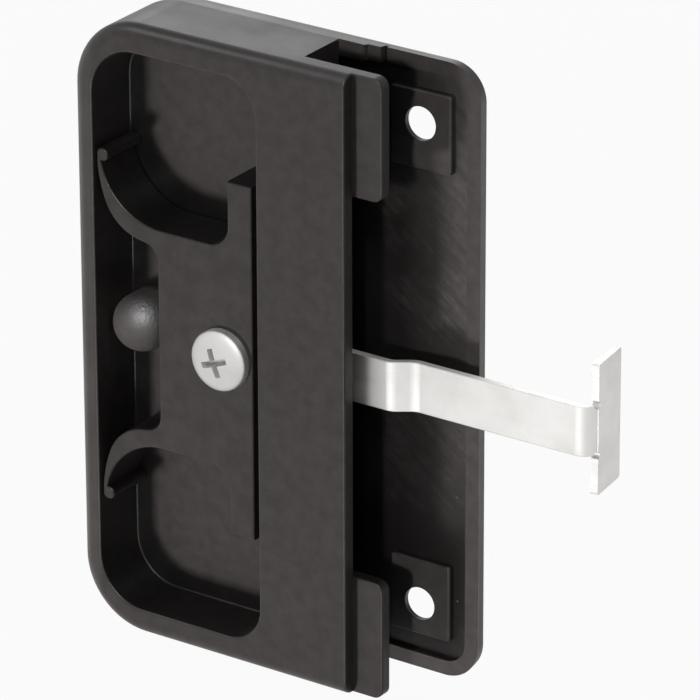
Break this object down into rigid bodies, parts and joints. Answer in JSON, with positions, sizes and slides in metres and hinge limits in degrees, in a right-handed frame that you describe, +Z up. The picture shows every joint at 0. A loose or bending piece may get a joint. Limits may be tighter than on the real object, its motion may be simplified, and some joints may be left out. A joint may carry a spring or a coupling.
{
  "type": "sliding screen door latch pull",
  "caption": "Flush finger pull and latch for a sliding screen door: a clip-on moulding with a sliding thumb piece that moves a T-shaped steel hook.",
  "frame": {"origin": "midway between the two mounting holes, on the faces of the pads that bear on the door stile", "axes": "+X along the hook, away from the finger pocket; +Y away from the hand, through the stile; +Z up, along the line of the two mounting holes"},
  "size_m": [0.085, 0.0187, 0.0974],
  "materials": {
    "black_plastic": "satin black moulded plastic with faint handling marks",
    "black_plastic_slide": "satin black moulded plastic with lighter rubbed edges",
    "zinc_steel": "bright zinc plated steel with fine brushing"
  },
  "bodies": {
    "housing": {"front_housing": "black_plastic", "rear_plate": "black_plastic"},
    "latch": {"latch_slide": "black_plastic_slide", "latch_tongue": "zinc_steel", "latch_screw": "zinc_steel"}
  },
  "joints": [
    {"name": "latch_travel", "type": "slide", "parent": "housing", "child": "latch", "axis": [0, 0, 1], "range_m": [-0.008, 0.008]}
  ]
}
